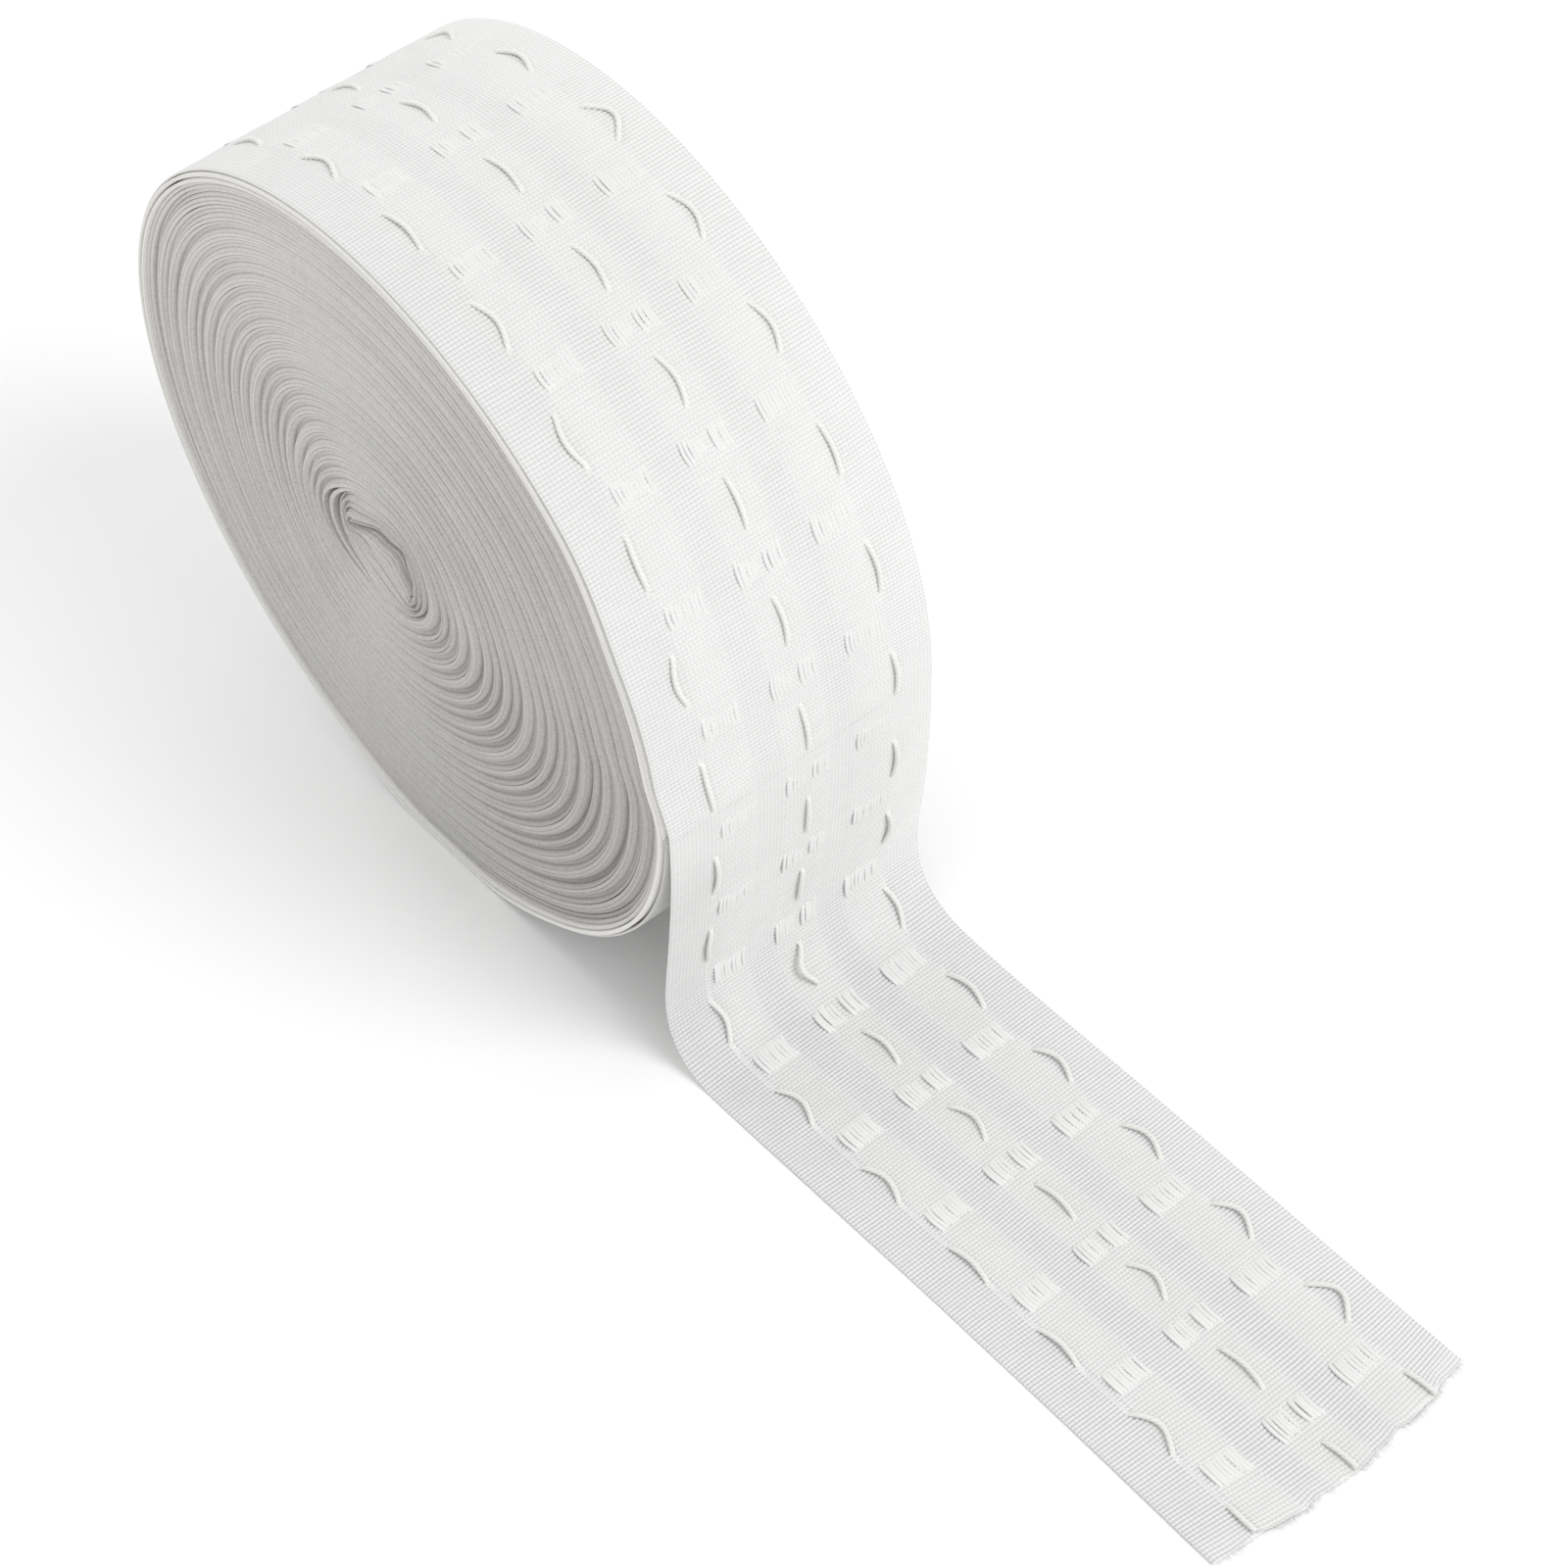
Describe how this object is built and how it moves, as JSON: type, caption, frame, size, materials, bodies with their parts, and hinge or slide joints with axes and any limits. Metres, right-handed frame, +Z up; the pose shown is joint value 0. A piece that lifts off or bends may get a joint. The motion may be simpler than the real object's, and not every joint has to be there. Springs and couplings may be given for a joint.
{
  "type": "roll of curtain heading tape",
  "caption": "Oval roll of white woven pencil pleat heading tape standing on its rim, with draw cords and a loose end that drops to the surface and lies flat.",
  "frame": {"origin": "on the surface that the roll stands on, under the centre of its fold, at the middle of the tape's width; it lies on the roll's flat spot", "axes": "+X runs across the tape from the near end face to the far one, +Y from the cut end to the back of the roll, +Z up"},
  "size_m": [0.0758, 0.3603, 0.1779],
  "materials": {
    "band": "white woven tape, matt, ribbed across",
    "cord": "white twisted draw cord, matt"
  },
  "bodies": {
    "root": {"wound_roll": "band", "loose_end": "band", "draw_cord_near": "cord", "draw_cord_middle": "cord", "draw_cord_far": "cord"}
  },
  "joints": []
}
